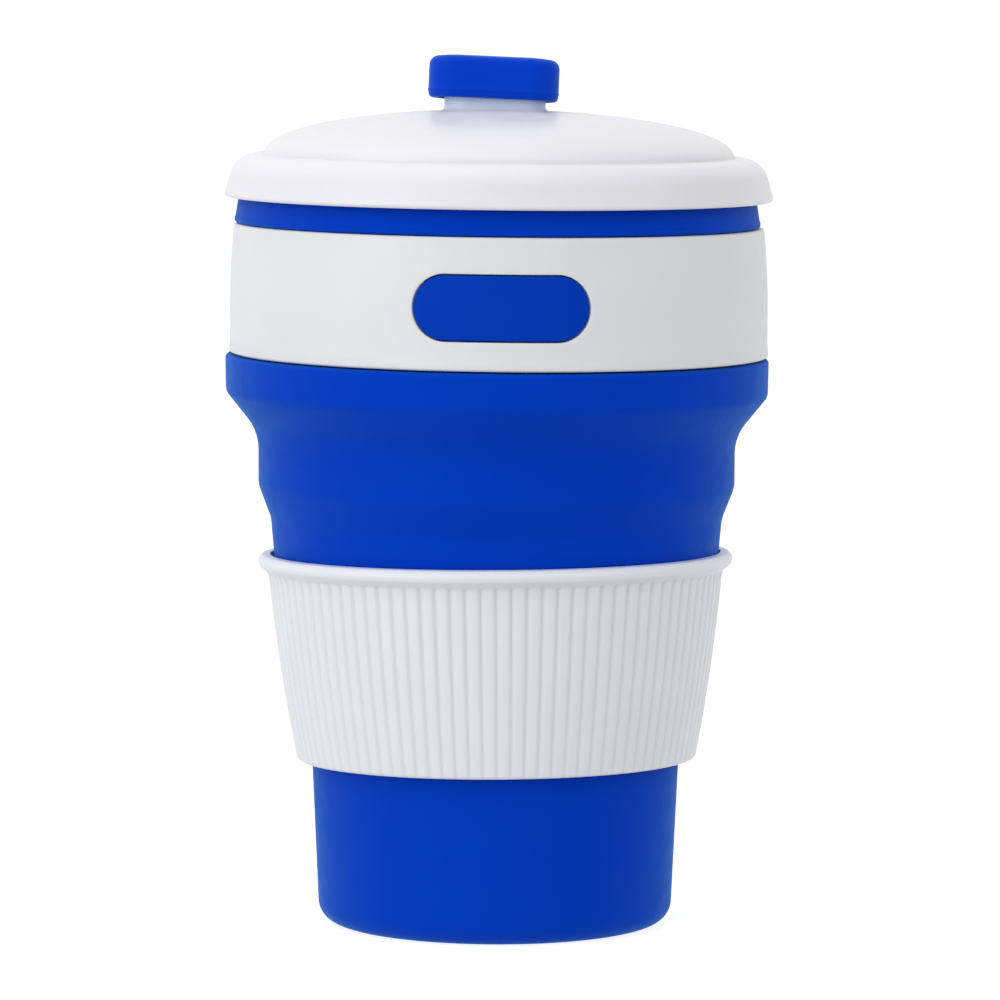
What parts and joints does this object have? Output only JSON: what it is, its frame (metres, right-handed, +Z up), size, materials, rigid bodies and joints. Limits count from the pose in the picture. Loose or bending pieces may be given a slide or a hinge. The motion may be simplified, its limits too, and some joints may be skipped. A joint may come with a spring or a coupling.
{
  "type": "collapsible travel cup",
  "caption": "Travel cup whose silicone body folds down in tiers, with a rigid collar, a ribbed heat sleeve and a press-on domed lid closed by a pull-out stopper.",
  "frame": {"origin": "centre of the cup's underside, on the table it stands on", "axes": "+Z up along the cup's axis; the front, with the badge, faces -Y; +X is the viewer's right"},
  "size_m": [0.0878, 0.0878, 0.1389],
  "materials": {
    "silicone": "satin",
    "sleeve_plastic": "satin",
    "collar_plastic": "satin",
    "badge_silicone": "satin",
    "lid_plastic": "satin",
    "gasket_silicone": "satin",
    "stopper_silicone": "satin"
  },
  "bodies": {
    "base": {"base_cup": "silicone"},
    "mid": {"lower_fold_wall": "silicone", "mid_wall": "silicone", "grip_sleeve": "sleeve_plastic"},
    "collar": {"upper_fold_wall": "silicone", "silicone_rim": "silicone", "collar_band": "collar_plastic", "badge_pad": "badge_silicone"},
    "lid": {"lid_shell": "lid_plastic", "lid_gasket": "gasket_silicone"},
    "stopper": {"stopper": "stopper_silicone"}
  },
  "joints": [
    {"name": "lower_fold", "type": "slide", "parent": "base", "child": "mid", "axis": [0, 0, 1], "range_m": [-0.025, 0], "deforming": ["lower_fold_wall"]},
    {"name": "upper_fold", "type": "slide", "parent": "mid", "child": "collar", "axis": [0, 0, 1], "range_m": [-0.048, 0], "deforming": ["upper_fold_wall"]},
    {"name": "lid_lift", "type": "slide", "parent": "collar", "child": "lid", "axis": [0, 0, 1], "range_m": [0, 0.04]},
    {"name": "stopper_pull", "type": "slide", "parent": "lid", "child": "stopper", "axis": [0, 0, 1], "range_m": [0, 0.016]}
  ]
}
